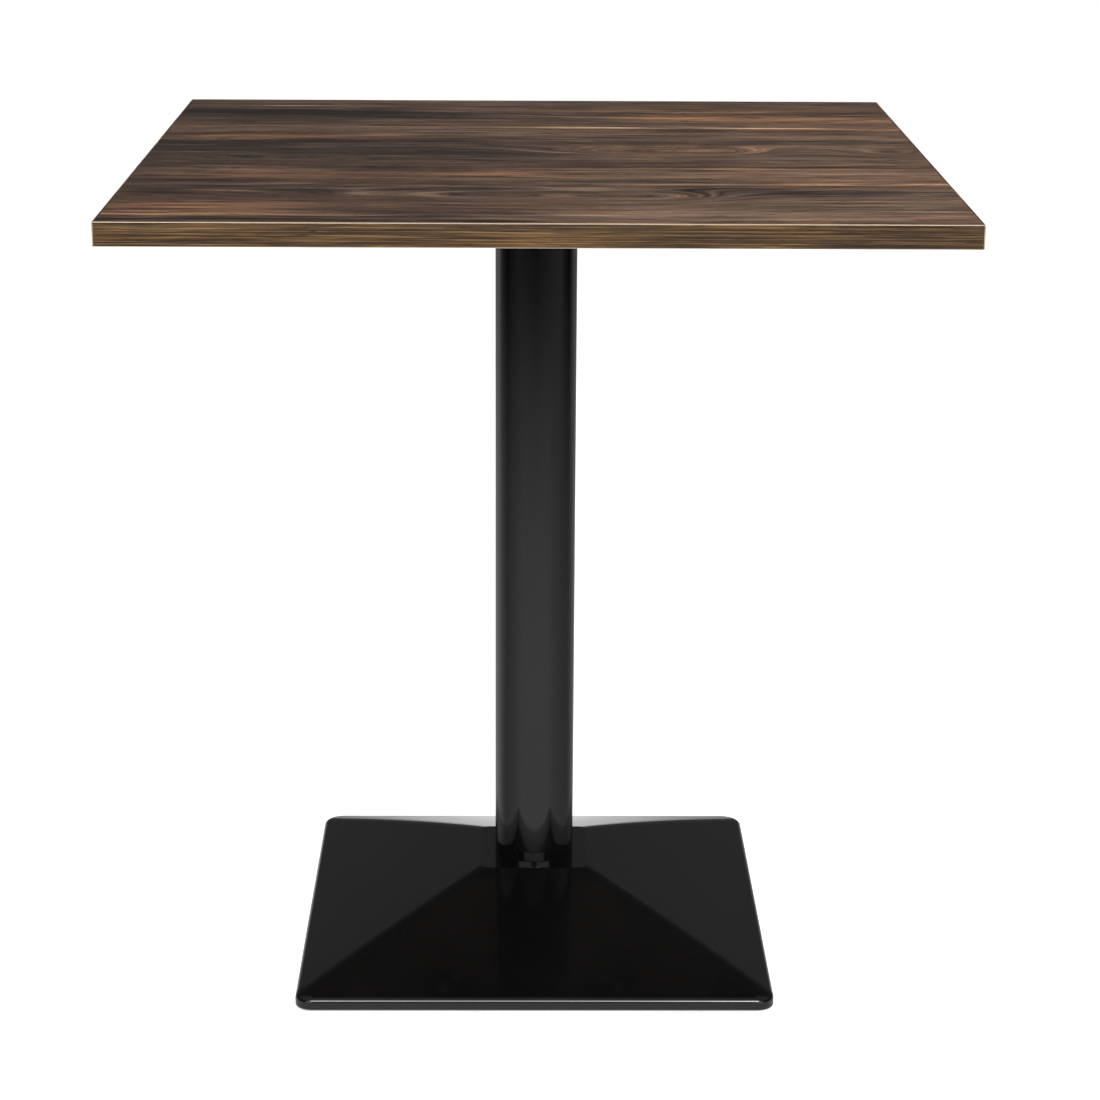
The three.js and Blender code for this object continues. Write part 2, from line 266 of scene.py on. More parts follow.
# The grain's layers, broad to fine: (strength, frequency along, frequency across, offset, detail).
GRAIN = (
    (0.36, 0.5, 4.0, 1.0, 1.0),
    (0.46, 1.1, 13.0, 5.0, 2.0),
    (0.90, 2.0, 52.0, 9.0, 3.0),
    (0.70, 6.0, 120.0, 2.0, 2.0),
)
MEAN_TONE = 0.315
STREAK_FADE = 0.30
# Streaks: (v, u from, u to, half width, lightness, warmth).
STREAKS = (
    (-0.90, -1.30, -0.35, 0.014, 0.26, 0.75),
    (-0.80, -1.30, -0.45, 0.075, 0.11, 0.55),
    (-0.455, 0.45, 1.40, 0.016, 0.30, 0.65),
    (-0.472, 0.05, 1.40, 0.006, 0.20, 0.20),
    (-0.33, -1.20, 0.35, 0.055, 0.10, 0.45),
    (0.466, -0.75, 1.00, 0.008, 0.36, 0.10),
    (0.462, -0.20, 0.95, 0.015, 0.26, 0.25),
    (0.45, 0.40, 1.50, 0.024, 0.15, 0.60),
    (0.62, 0.10, 1.20, 0.060, 0.16, 0.60),
    (0.87, -1.20, -0.15, 0.008, 0.30, 0.35),
    (0.285, -1.10, -0.20, 0.035, 0.08, 0.50),
    (0.07, 0.10, 0.70, 0.050, 0.12, 0.35),
    (-0.23, 0.36, 0.66, 0.012, 0.22, 0.30),
    (-0.34, 0.55, 1.10, 0.005, 0.20, 0.20),
    (0.73, -1.30, -0.10, 0.075, -0.20, -0.30),
    (0.10, -1.30, 0.10, 0.100, -0.14, -0.30),
    (-0.02, -0.90, 0.30, 0.060, -0.10, -0.20),
    (0.40, 0.20, 0.95, 0.040, -0.14, -0.20),
    (-0.55, -1.20, 1.10, 0.060, -0.14, -0.20),
    (-0.60, 0.50, 1.20, 0.050, -0.12, -0.30),
    (-0.97, -1.20, 0.20, 0.015, -0.22, -0.20),
)


def wood_laminate():
    """Dark smoked-walnut print on an embossed sheet: streaks, cathedrals and short pores along X, with
    painted light that makes the top lighter towards the right and the front.
    """
    paint = Paint("dark_walnut_laminate", IOR=1.5, Specular_IOR_Level=0.3)
    u = paint.x / TOP_HALF
    v = paint.y / TOP_HALF

    drift = paint.ripple(0.10, u * 0.9, v * 2.0) + paint.ripple(0.020, u * 3.0, v * 9.0, 3.0)
    flow = v + drift
    for centre_u, centre_v, left, right, width, height in CATHEDRALS:
        along = u - centre_u
        reach = along.ramp(-0.02, 0.02, left, right)
        across = (v + drift * 0.6 - centre_v) / width
        along = along / reach
        flow = flow + bell(along * along + across * across) * height

    # Painted light: the tone is raised towards the right and slightly towards the front, as the light falls
    # on the top. The strip in front of v = -0.4 is a little darker.
    tone = u.ramp(-1.0, 0.5) * 0.10 - v * 0.02 + v.ramp(-1.0, -0.4, -0.04, 0.0) + MEAN_TONE
    for strength, along, across, offset, detail in GRAIN:
        tone = tone + paint.ripple(strength, u * along, flow * across, offset, detail)
    warmth = paint.ripple(1.1, u * 0.9, flow * 8.0, 7.0, detail=2.0)

    wander = v + drift * 0.35
    ragged = paint.noise(paint.vector(u * 4.0, flow * 70.0, 4.0)).ramp(0.3, 0.65, 0.35, 1.35)
    for place, start, end, half_width, lightness, warm in STREAKS:
        fade = STREAK_FADE * (end - start)
        across = (wander - place) / half_width
        mask = bell(across * across) * u.ramp(start, start + fade) * u.ramp(end - fade, end, 1.0, 0.0)
        mask = mask * ragged
        tone = tone + mask * lightness
        warmth = warmth + mask * warm

    cool = tone.colours(
        (0.00, (22, 16, 13)),
        (0.22, (42, 33, 28)),
        (0.34, (61, 49, 41)),
        (0.42, (77, 62, 52)),
        (0.50, (92, 75, 62)),
        (0.62, (113, 93, 77)),
        (0.78, (143, 119, 98)),
        (1.00, (186, 160, 134)),
    )
    warm = tone.colours(
        (0.00, (28, 16, 10)),
        (0.22, (52, 35, 24)),
        (0.34, (78, 54, 37)),
        (0.42, (98, 69, 48)),
        (0.50, (116, 83, 58)),
        (0.62, (142, 102, 71)),
        (0.78, (174, 128, 90)),
        (1.00, (208, 166, 124)),
    )
    colour = paint.mix(warmth.ramp(-0.35, 0.75), cool, warm)

    veins = paint.ripple(1.0, u * 2.4, flow * 24.0, 12.0).size()
    pores = paint.noise(paint.vector(paint.x * 55.0, paint.y * 1100.0, flow * 20.0), detail=1.0)
    dark = pores.ramp(0.58, 0.70) * 0.55 + veins.ramp(0.0, 0.018, 0.40, 0.0)
    colour = paint.mix(dark, colour, linear((16, 12, 10)))
    paint.set(Base_Color=colour)
    paint.set(Roughness=dark * 0.12 + tone.ramp(0.0, 1.0, 0.46, 0.38))
    paint.bump(dark * -1.0 + tone * 0.4, 0.06 * MM)
    return paint.material


def edge_band(trimmed):
    """Printed plastic edging with fine lines along it. Where its arris is trimmed, the plain core shows."""
    name = "edge_band_arris" if trimmed else "edge_band"
    paint = Paint(name, IOR=1.49, Specular_IOR_Level=0.3)
    along = paint.x + paint.y
    height = paint.z + paint.ripple(2.2 * MM, along * 7.0, paint.z * 60.0)
    broad = paint.ripple(0.25, along * 2.0, height * 200.0, 2.0)
    lines = paint.ripple(1.0, along * 7.0, height * 1050.0, 6.0, detail=2.0)
    hair = paint.ripple(0.6, along * 45.0, height * 2400.0, 8.0)
    tone = broad + lines * 2.2 + hair + 0.36
    if trimmed:
        tone = tone * 0.3 + 0.35
        colour = tone.colours((0.0, (108, 92, 76)), (1.0, (182, 163, 140)))
        paint.set(Base_Color=colour, Roughness=lines * 0.1 + 0.28)
        return paint.material
    glow = paint.noise(paint.vector(along * 4.0, height * 240.0, 11.0), detail=1.0)
    plain = tone.colours(
        (0.0, (18, 11, 6)),
        (0.3, (50, 35, 22)),
        (0.6, (84, 64, 40)),
        (1.0, (124, 100, 66)),
    )
    golden = tone.colours(
        (0.0, (20, 12, 4)),
        (0.3, (56, 37, 14)),
        (0.6, (98, 68, 28)),
        (1.0, (140, 104, 54)),
    )
    veins = paint.ripple(1.0, along * 9.0, height * 700.0, 15.0).size()
    colour = paint.mix(glow.ramp(0.40, 0.75, 0.1, 0.7), plain, golden)
    colour = paint.mix(veins.ramp(0.0, 0.035, 0.75, 0.0), colour, linear((17, 11, 6)))
    paint.set(Base_Color=colour)
    paint.set(Roughness=tone.ramp(0.0, 1.0, 0.48, 0.36))
    paint.bump(tone, 0.05 * MM)
    return paint.material


def backing_laminate():
    """Plain dark brown backing sheet, with the faint criss-cross of its sanded face."""
    paint = Paint("backing_sheet", IOR=1.5)
    cloud = paint.noise(paint.scaled(14.0), detail=3.0)
    scratch = paint.noise(paint.scaled(60.0, 1400.0), detail=1.0)
    fleck = paint.noise(paint.scaled(900.0), detail=1.0)
    tone = (cloud - 0.5) * 0.8 + (scratch - 0.5) * 0.5 + (fleck - 0.5) * 0.4 + 0.5
    paint.set(Base_Color=tone.colours((0.0, (34, 28, 24)), (0.5, (47, 39, 33)), (1.0, (62, 52, 44))))
    paint.set(Roughness=tone.ramp(0.0, 1.0, 0.62, 0.5))
    paint.bump(tone, 0.04 * MM)
    return paint.material


def chipboard():
    """Pressed wood chips, coarse in the middle of the board."""
    paint = Paint("chipboard", IOR=1.45)
    bend = (paint.noise(paint.scaled(120.0), detail=1.0) - 0.5) * 0.9
    chips = paint.cells(paint.vector(paint.x * 260.0 + bend, paint.y * 340.0 - bend, paint.z * 900.0))
    grain = paint.noise(paint.scaled(1500.0, 700.0, 1500.0), detail=1.0)
    tone = chips * 0.75 + grain * 0.3
    colour = tone.colours(
        (0.0, (104, 70, 40)),
        (0.3, (156, 118, 76)),
        (0.7, (190, 156, 108)),
        (1.0, (220, 192, 148)),
    )
    paint.set(Base_Color=colour, Roughness=grain.ramp(0.2, 0.8, 0.95, 0.8))
    paint.bump(tone, 0.25 * MM)
    return paint.material


def gloss_black(name):
    """Black gloss coat with a faint orange peel and a little dust haze."""
    paint = Paint(name, IOR=1.5)
    haze = paint.noise(paint.scaled(9.0), detail=3.0)
    specks = paint.noise(paint.scaled(1300.0), detail=1.0).ramp(0.70, 0.80)
    paint.set(Base_Color=haze.colours((0.3, (5, 5, 5)), (0.7, (8, 8, 8))))
    paint.set(Roughness=haze.ramp(0.3, 0.7, 0.07, 0.10) + specks * 0.06)
    paint.bump(paint.noise(paint.scaled(260.0), detail=1.0), ORANGE_PEEL)
    return paint.material


def cast_iron(name, painted):
    """Sand-cast iron: grainy all over. Painted, it is satin black; bare, it is grey with a little rust."""
    paint = Paint(name, IOR=1.5)
    grain = paint.noise(paint.scaled(900.0), detail=3.0, roughness=0.65)
    lumps = paint.noise(paint.scaled(180.0), detail=2.0)
    cloud = paint.noise(paint.scaled(22.0), detail=3.0)
    if painted:
        paint.set(Base_Color=cloud.colours((0.3, (16, 16, 17)), (0.7, (27, 27, 28))))
        paint.set(Roughness=grain.ramp(0.3, 0.7, 0.34, 0.5))
    else:
        bare = cloud.colours((0.3, (44, 44, 46)), (0.7, (70, 69, 68)))
        rust = grain.colours((0.3, (62, 42, 32)), (0.7, (90, 61, 44)))
        paint.set(Base_Color=paint.mix((cloud * 0.6 + lumps * 0.4).ramp(0.53, 0.74), bare, rust))
        paint.set(Roughness=grain.ramp(0.3, 0.7, 0.55, 0.85), Metallic=0.35)
    paint.bump(grain * 0.6 + lumps, 0.35 * MM)
    return paint.material


def zinc():
    """Bright zinc plate: faintly clouded, with fine marks from turning."""
    paint = Paint("zinc_plate", Metallic=1.0)
    cloud = paint.noise(paint.scaled(160.0), detail=3.0)
    marks = paint.noise(paint.scaled(300.0, 300.0, 5200.0), detail=1.0)
    colour = cloud.colours((0.3, (176, 178, 180)), (0.55, (198, 200, 204)), (0.75, (204, 201, 190)))
    paint.set(Base_Color=colour, Roughness=cloud * 0.22 + marks * 0.10 + 0.12)
    paint.bump(marks, 0.02 * MM)
    return paint.material


def pad_plastic():
    """Moulded black plastic with a fine sparked texture."""
    paint = Paint("moulded_plastic", IOR=1.46)
    spark = paint.noise(paint.scaled(2200.0), detail=2.0)
    cloud = paint.noise(paint.scaled(90.0), detail=2.0)
    paint.set(Base_Color=cloud.colours((0.3, (20, 20, 21)), (0.7, (31, 31, 32))))
    paint.set(Roughness=spark.ramp(0.3, 0.7, 0.48, 0.66))
    paint.bump(spark, 0.05 * MM)
    return paint.material


# ---------- objects and meshes ----------
def new_object(name, data):
    """An object in the scene, made of a mesh, a camera or a light."""
    made = bpy.data.objects.new(name, data)
    bpy.context.scene.collection.objects.link(made)
    return made


def piece(name, points, faces, materials, sharp=30.0, weighted=False):
    """A new object from points and faces, smooth except across edges sharper than the angle."""
    mesh = bpy.data.meshes.new(name)
    mesh.from_pydata([tuple(point) for point in points], [], faces)
    work = bmesh.new()
    work.from_mesh(mesh)
    bmesh.ops.remove_doubles(work, verts=work.verts, dist=1e-6)
    bmesh.ops.dissolve_degenerate(work, edges=work.edges, dist=1e-7)
    bmesh.ops.recalc_face_normals(work, faces=work.faces)
    work.to_mesh(mesh)
    work.free()
    for material in materials:
        mesh.materials.append(material)
    mesh.shade_smooth()
    mesh.set_sharp_from_angle(angle=math.radians(sharp))
    made = new_object(name, mesh)
    if weighted:
        modifier = made.modifiers.new("even_shading", "WEIGHTED_NORMAL")
        modifier.keep_sharp = True
    return made


def stands_for(made, slot, *nodes, body="table"):
    """The piece takes the place of CAD nodes, on their body. The slot is not used."""
    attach(made, body)
    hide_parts(*nodes)
    return made


def fillet(corners, closed=False, steps=5):
    """The corners of a profile, each (radius, z) or (radius, z, fillet), with the fillets as arcs."""
    points = []
    count = len(corners)
    for index, corner in enumerate(corners):
        here = Vector(corner[:2])
        if len(corner) < 3 or not corner[2]:
            points.append(here)
            continue
        before = (Vector(corners[index - 1][:2]) - here).normalized()
        after = (Vector(corners[(index + 1) % count][:2]) - here).normalized()
        half = before.angle(after) / 2
        centre = here + (before + after).normalized() * corner[2] / math.sin(half)
        reach = corner[2] / math.tan(half)
        start = here + before * reach - centre
        end = here + after * reach - centre
        sweep = start.angle(end)
        for step in range(steps + 1):
            share = step / steps
            spoke = start * math.sin((1 - share) * sweep) + end * math.sin(share * sweep)
            points.append(centre + spoke / math.sin(sweep))
    if closed:
        points.append(points[0])
    return points


def dense(points, spacing):
    """The same profile with points no further apart than the spacing."""
    found = [points[0]]
    for before, after in zip(points, points[1:]):
        parts = max(1, math.ceil((after - before).length / spacing - 1e-6))
        found += [before.lerp(after, part / parts) for part in range(1, parts + 1)]
    return found


def turned(name, profile, sides, materials, shape=None, sharp=30.0):
    """A solid of revolution from a profile that runs from axis to axis or closes on itself.
    shape(radius, z, angle) may change the radius, for hexagons and threads."""
    points = []
    rows = []
    for radius, z in profile:
        if radius < 1e-7:
            rows.append([len(points)] * sides)
            points.append((0.0, 0.0, z))
            continue
        rows.append(list(range(len(points), len(points) + sides)))
        for side in range(sides):
            angle = side / sides * math.tau
            reach = shape(radius, z, angle) if shape else radius
            points.append((reach * math.cos(angle), reach * math.sin(angle), z))
    faces = []
    for below, above in zip(rows, rows[1:]):
        for side in range(sides):
            after = (side + 1) % sides
            ring = [below[side], below[after], above[after], above[side]]
            corners = list(dict.fromkeys(ring))
            if len(corners) > 2:
                faces.append(corners)
    return piece(name, points, faces, materials, sharp)


def hexagon(flats, rounding=60):
    """The radius of a hexagon across flats at an angle, with its corners very slightly rounded."""

    def radius(angle):
        total = sum(max(0.0, math.cos(angle - turn * math.pi / 3)) ** rounding for turn in range(6))
        return flats / 2 / total ** (1 / rounding)

    return radius


def thread_groove(pitch, depth, low, high):
    """How deep a right-hand thread cuts at a height and angle, between two heights."""

    def groove(z, angle):
        if not low < z < high:
            return 0.0
        turn = (z / pitch - angle / math.tau) % 1.0
        flank = min(1.0, max(0.0, (abs(2 * turn - 1) - 0.14) / 0.72))
        return depth * flank * min(1.0, (z - low) / pitch)

    return groove


def rounded_square(half, corner, z):
    """The points of a square with rounded corners, counter-clockwise, with points along its sides."""
    steps, sides = 12, 8
    straight = half - corner
    points = []
    for quarter in range(4):
        turn = Matrix.Rotation(quarter * math.pi / 2, 3, "Z")
        for step in range(steps + 1):
            angle = step / steps * math.pi / 2
            spoke = Vector((math.cos(angle), math.sin(angle), 0)) * corner
            points.append(turn @ (Vector((straight, straight, 0)) + spoke) + Vector((0, 0, z)))
        for part in range(1, sides):
            side = straight - 2 * straight * part / sides
            points.append(turn @ Vector((side, half, 0)) + Vector((0, 0, z)))
    return points


def skinned(count, rows, closed):
    """The faces of a skin over rows of count points each. A closed one also joins the last to the first."""
    faces = []
    for row in range(rows if closed else rows - 1):
        here = row * count
        following = (row + 1) % rows * count
        for index in range(count):
            after = (index + 1) % count
            faces.append((here + index, here + after, following + after, following + index))
    return faces


def apply_modifiers(made):
    """Gives the object the mesh that its modifiers make, and removes them."""
    bpy.context.view_layer.update()
    shape = made.evaluated_get(bpy.context.evaluated_depsgraph_get())
    mesh = bpy.data.meshes.new_from_object(shape)
    made.modifiers.clear()
    made.data = mesh


# ---------- the top ----------
def strip_levels():
    """(inset, z) up the outside of a strip: the lower arris, the ridged face and the upper arris."""
    lower = []
    upper = []
    for step in range(ARC_STEPS + 1):
        turn = step / ARC_STEPS * math.pi / 2
        lower.append((BAND_ARRIS * (1 - math.sin(turn)), TOP_UNDERSIDE + BAND_ARRIS * (1 - math.cos(turn))))
        upper.append((BAND_ARRIS * (1 - math.cos(turn)), TABLE_HEIGHT - BAND_ARRIS * (1 - math.sin(turn))))
    face = TABLE_HEIGHT - TOP_UNDERSIDE - 2 * BAND_ARRIS
    ridges = []
    for ridge in range(1, 2 * BAND_RIDGES):
        uneven = 0.5 + noise.noise(Vector((ridge * 3.7, 0, 0)))
        depth = max(0.0, BAND_RIDGE_DEPTH * (ridge % 2) * uneven)
        ridges.append((depth, TOP_UNDERSIDE + BAND_ARRIS + face * ridge / (2 * BAND_RIDGES)))
    return [*lower, *ridges, *upper]


def strip_outline(inset, full_width):
    """A strip's section in plan, for the strip at the front, counter-clockwise."""
    if not full_width:
        return [
            (-CORE_HALF, -TOP_HALF + inset),
            (CORE_HALF, -TOP_HALF + inset),
            (CORE_HALF, -CORE_HALF),
            (-CORE_HALF, -CORE_HALF),
        ]
    centre = TOP_HALF - BAND_CORNER
    radius = BAND_CORNER - inset
    right = [
        (centre + radius * math.sin(turn), -centre - radius * math.cos(turn))
        for turn in (step / ARC_STEPS * math.pi / 2 for step in range(ARC_STEPS + 1))
    ]
    left = [(-x, y) for x, y in reversed(right)]
    return [*left, *right, (TOP_HALF - inset, -CORE_HALF), (-TOP_HALF + inset, -CORE_HALF)]


def build_edge_strip(side, turn, full_width, materials):
    """One strip of edge band: the first material on its broad faces, and the second where it was
    trimmed, on its arrises and ends."""
    spin = Matrix.Rotation(turn, 3, "Z")
    rows = [
        [spin @ Vector((x, y, z)) for x, y in strip_outline(inset, full_width)]
        for inset, z in strip_levels()
    ]
    points = [point for row in rows for point in row]
    count = len(rows[0])
    faces = skinned(count, len(rows), closed=False)
    faces.append(tuple(reversed(range(count))))
    faces.append(tuple(range(len(points) - count, len(points))))
    made = piece("edge_strip_" + side, points, faces, materials, sharp=40.0, weighted=True)
    for face in made.data.polygons:
        normal = spin.inverted() @ face.normal
        flat = abs(normal.z) > 0.98 or abs(normal.y) > 0.98
        face.material_index = 0 if flat else 1
    stands_for(made, "edge_band", "edge_band_" + side)


# ---------- the column and foot ----------
def build_column(material):
    """The round tube, with its ends slightly broken."""
    edge = 0.4 * MM
    inner = COLUMN_RADIUS - COLUMN_WALL
    profile = fillet(
        [
            (inner, column_low.z, edge),
            (COLUMN_RADIUS, column_low.z, edge),
            (COLUMN_RADIUS, column_high.z, edge),
            (inner, column_high.z, edge),
        ],
        closed=True,
    )
    made = turned("column", dense(profile, 60 * MM), 256, [material])
    stands_for(made, "black_column", "column_tube")


def cover_profile(inset):
    """(half side, z) of one skin of the cover, from the hole down to the bottom of the skirt."""
    rim = COVER_HALF - COVER_RIM
    run = rim - COVER_FLAT_HALF
    rise = FLAT_Z - COVER_RIM_Z
    slope = math.atan2(rise, run) - math.asin(COVER_RIM / math.hypot(rise, run))
    flat = COVER_FLAT_HALF - inset * math.tan(slope / 2)
    skirt = COVER_HALF - inset
    shoulder = FLAT_Z - inset - (skirt - flat) * math.tan(slope)
    points = fillet(
        [
            (ROD_BORE, FLAT_Z - inset),
            (flat, FLAT_Z - inset, COVER_FLAT_EASE),
            (skirt, shoulder, COVER_RIM - inset),
            (skirt, cover_low.z),
        ],
        steps=8,
    )
    crowned = []
    for half, z in dense(points, 8 * MM):
        share = min(1.0, max(0.0, (half - flat) / (rim - flat)))
        crowned.append(Vector((half, z + COVER_CROWN * 4 * share * (1 - share))))
    return crowned


def cover_corner(half, inset):
    """The plan radius where the cover is that wide: tight at the flat and wider at the rim."""
    share = min(1.0, max(0.0, (half - COVER_FLAT_HALF) / (COVER_HALF - COVER_FLAT_HALF)))
    return min(half, COVER_FLAT_CORNER + (COVER_CORNER - COVER_FLAT_CORNER - inset) * share)


def build_cover(material):
    """The pressed cover: down its outer skin and up its inner one, closing on itself at the hole."""
    outside = [(0.0, half, z) for half, z in cover_profile(0.0)]
    inside = [(COVER_SHEET, half, z) for half, z in reversed(cover_profile(COVER_SHEET))]
    rows = [rounded_square(half, cover_corner(half, inset), z) for inset, half, z in outside + inside]
    points = [point for row in rows for point in row]
    faces = skinned(len(rows[0]), len(rows), closed=True)
    made = piece("foot_cover", points, faces, [material], sharp=50.0, weighted=True)
    stands_for(made, "black_foot", "base_cover")


# ---------- castings ----------
def casting(name, node, slot, material, grid, soften):
    """A casting with the CAD node's shape: remeshed on a grid, its edges softened in that many rounds
    of smoothing, and its skin slightly uneven."""
    low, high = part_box(node)
    made = new_object(name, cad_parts[node].data.copy())
    remesh = made.modifiers.new("even_grid", "REMESH")
    remesh.mode = "VOXEL"
    remesh.voxel_size = grid
    smooth = made.modifiers.new("soft_edges", "SMOOTH")
    smooth.iterations = soften
    apply_modifiers(made)
    mesh = made.data
    normals = [normal.vector.copy() for normal in mesh.vertex_normals]
    for vertex, normal in zip(mesh.vertices, normals):
        moved = vertex.co + normal * noise.noise(vertex.co / CASTING_LUMP) * CASTING_SWAY
        vertex.co = [min(max(value, least), most) for value, least, most in zip(moved, low, high)]
    mesh.materials.clear()
    mesh.materials.append(material)
    mesh.shade_smooth()
    stands_for(made, slot, node)


# ---------- fasteners ----------
def middle(node):
    """The point under a node's centre, at its lowest height, and its height."""
    low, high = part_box(node)
    return Vector(((low.x + high.x) / 2, (low.y + high.y) / 2, low.z)), high.z - low.z


def cross_recess(made):
    """Cuts a cross recess, as a screwdriver needs, into the head at the bottom of a screw."""
    blade = Vector((2.3 * MM, 0.55 * MM, -0.1 * MM))
    tip = Vector((0.8 * MM, 0.35 * MM, 1.9 * MM))
    corners = [
        Vector((x * end.x, y * end.y, end.z))
        for end in (blade, tip)
        for x, y in ((-1, -1), (1, -1), (1, 1), (-1, 1))
    ]
    faces = [(3, 2, 1, 0), (4, 5, 6, 7), (0, 1, 5, 4), (1, 2, 6, 5), (2, 3, 7, 6), (3, 0, 4, 7)]
    for turn in (0, math.pi / 2):
        spin = Matrix.Rotation(turn, 3, "Z")
        cutter = piece("cutter", [spin @ corner for corner in corners], faces, made.data.materials)
        cut = made.modifiers.new("recess", "BOOLEAN")
        cut.operation = "DIFFERENCE"
        cut.solver = "EXACT"
        cut.object = cutter
        apply_modifiers(made)
        bpy.data.objects.remove(cutter)
    made.data.shade_smooth()
    made.data.set_sharp_from_angle(angle=math.radians(35))


def build_wood_screws(material):
    """Pan-head screws with a cross recess, a coarse thread and a point. All share one mesh."""
    _, length = middle("plate_screw_1")
    head, height, shank = 4.2 * MM, 2.8 * MM, 2.0 * MM
    pitch, depth = 1.8 * MM, 0.55 * MM
    groove = thread_groove(pitch, depth, height + 3 * MM, length)
    shaft = [Vector((shank, height)), Vector((shank, length - 3.5 * MM)), Vector((0, length))]
    profile = fillet(
        [(0, 0), (head, 0, 1.9 * MM), (head, height, 0.3 * MM), (shank, height)]
    ) + dense(shaft, pitch / 10)[1:]

    def shape(radius, z, angle):
        if z <= height:
            return radius
        return max(0.02 * MM, radius - groove(z, angle) * min(1.0, radius / shank))

    pattern = turned("wood_screw_1", profile, 40, [material], shape)
    cross_recess(pattern)
    for index in range(1, WOOD_SCREWS + 1):
        node = "plate_screw_%d" % index
        made = pattern if index == 1 else new_object("wood_screw_%d" % index, pattern.data)
        place, _ = middle(node)
        turn = Matrix.Rotation(index * SCREW_TURN, 4, "Z")
        made.matrix_world = Matrix.Translation(place) @ turn
        stands_for(made, "zinc_steel", node)


def build_tie_rod(material):
    """A long rod with a rolled thread at both ends."""
    place, length = middle("tie_rod")
    radius, pitch, depth, chamfer = 5.9 * MM, 1.75 * MM, 1.0 * MM, 1.0 * MM
    low_end, high_end = 55 * MM, 40 * MM
    lower = thread_groove(pitch, depth, 0.0, low_end)
    upper = thread_groove(pitch, depth, length - high_end, length)
    step = pitch / 9
    profile = [Vector((0, 0))]
    low = [Vector((radius - chamfer, 0)), Vector((radius, chamfer)), Vector((radius, low_end))]
    profile += dense(low, step)
    high = [Vector((radius, length - high_end)), Vector((radius, length - chamfer))]
    profile += dense([*high, Vector((radius - chamfer, length))], step)
    profile += [Vector((0, length))]

    def shape(reach, z, angle):
        return min(reach, radius - lower(z, angle) - upper(z, angle))

    made = turned("threaded_rod", profile, 48, [material], shape, sharp=50.0)
    made.location = place
    stands_for(made, "zinc_steel", "tie_rod")


def build_nut(name, node, material):
    """A hexagon nut with chamfered corners and a countersunk bore."""
    place, height = middle(node)
    flats, bore, sink = 18 * MM, 6.1 * MM, 0.9 * MM
    outline = hexagon(flats)
    corner = flats / 2 / math.cos(math.pi / 6)
    start = flats / 2 * 0.94
    rise = (corner - start) * math.tan(math.radians(30))
    profile = [
        Vector((bore, sink)),
        Vector((bore + sink, 0)),
        *dense([Vector((start, 0)), Vector((corner, rise))], 0.15 * MM),
        *dense([Vector((corner, height - rise)), Vector((start, height))], 0.15 * MM),
        Vector((bore + sink, height)),
        Vector((bore, height - sink)),
        Vector((bore, sink)),
    ]
    made = turned(name, profile, 96, [material], lambda r, z, angle: min(r, outline(angle)))
    made.location = place
    stands_for(made, "zinc_steel", node)


def build_washer(name, node, material):
    """A punched washer, rounded on the side it was punched from."""
    low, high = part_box(node)
    place, thickness = middle(node)
    outer = (high.x - low.x) / 2
    profile = fillet(
        [
            (ROD_BORE, 0, 0.15 * MM),
            (outer, 0, 0.15 * MM),
            (outer, thickness, 0.5 * MM),
            (ROD_BORE, thickness, 0.4 * MM),
        ],
        closed=True,
    )
    made = turned(name, profile, 96, [material])
    made.location = place
    stands_for(made, "zinc_steel", node)


def build_cup(material):
    """A drawn cup that centres the foot of the column."""
    low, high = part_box("column_centring_cup")
    place, height = middle("column_centring_cup")
    outer = (high.x - low.x) / 2
    wall = 2.5 * MM
    profile = fillet(
        [
            (ROD_BORE, 0, 0.3 * MM),
            (outer, 0, 3 * MM),
            (outer, height, 0.3 * MM),
            (outer - wall, height, 0.3 * MM),
            (outer - wall, wall, 1 * MM),
            (ROD_BORE, wall, 0.3 * MM),
        ],
        closed=True,
    )
    made = turned("centring_cup", profile, 128, [material])
    made.location = place
    stands_for(made, "zinc_steel", "column_centring_cup")


# ---------- levelling feet ----------
def pad_profile(height):
    """A low domed pad with grip rings underneath and a socket on top."""
    radius, shoulder, crown = 19 * MM, 1.5 * MM, 13 * MM
    lip, lip_z, socket = 4.4 * MM, 3.9 * MM, 6.4 * MM
    # A tenth of a millimetre under the button, so the turning screw doesn't graze the pad.
    floor = 1.7 * MM
    groove = 0.4 * MM
    rings = [(0, groove)]
    for start in (5 * MM, 8.5 * MM, 12 * MM):
        rings += [(start, groove), (start + 0.3 * MM, 0), (start + 1.7 * MM, 0), (start + 2 * MM, groove)]
    rings += [(15.5 * MM, groove), (15.8 * MM, 0)]
    return fillet(
        [
            *rings,
            (radius, 0, 0.5 * MM),
            (radius, shoulder, 0.6 * MM),
            (crown, height, 3 * MM),
            (lip, height, 0.3 * MM),
            (lip, lip_z, 0.2 * MM),
            (socket, lip_z),
            (socket, floor, 0.3 * MM),
            (0, floor),
        ]
    )


def foot_screw_profile(height):
    """Up the outside of a levelling screw, from its button to the end of its thread."""
    button, neck, stem = 6 * MM, 1.8 * MM, 4 * MM
    collar_low, collar_high, corner = 3.4 * MM, 6.2 * MM, 8.7 * MM
    start = 7.1 * MM
    rise = (corner - start) * math.tan(math.radians(30))
    fine = 0.12 * MM
    return [
        *fillet([(0, 0), (button, 0, 0.5 * MM), (button, neck, 0.3 * MM), (stem, neck)]),
        Vector((stem, collar_low)),
        *dense([Vector((start, collar_low)), Vector((corner, collar_low + rise))], fine),
        *dense([Vector((corner, collar_high - rise)), Vector((start, collar_high))], fine),
        *dense(
            [
                Vector((stem, collar_high)),
                Vector((stem, height - 1 * MM)),
                Vector((stem - 1 * MM, height)),
            ],
            0.14 * MM,
        ),
        Vector((0, height)),
    ]


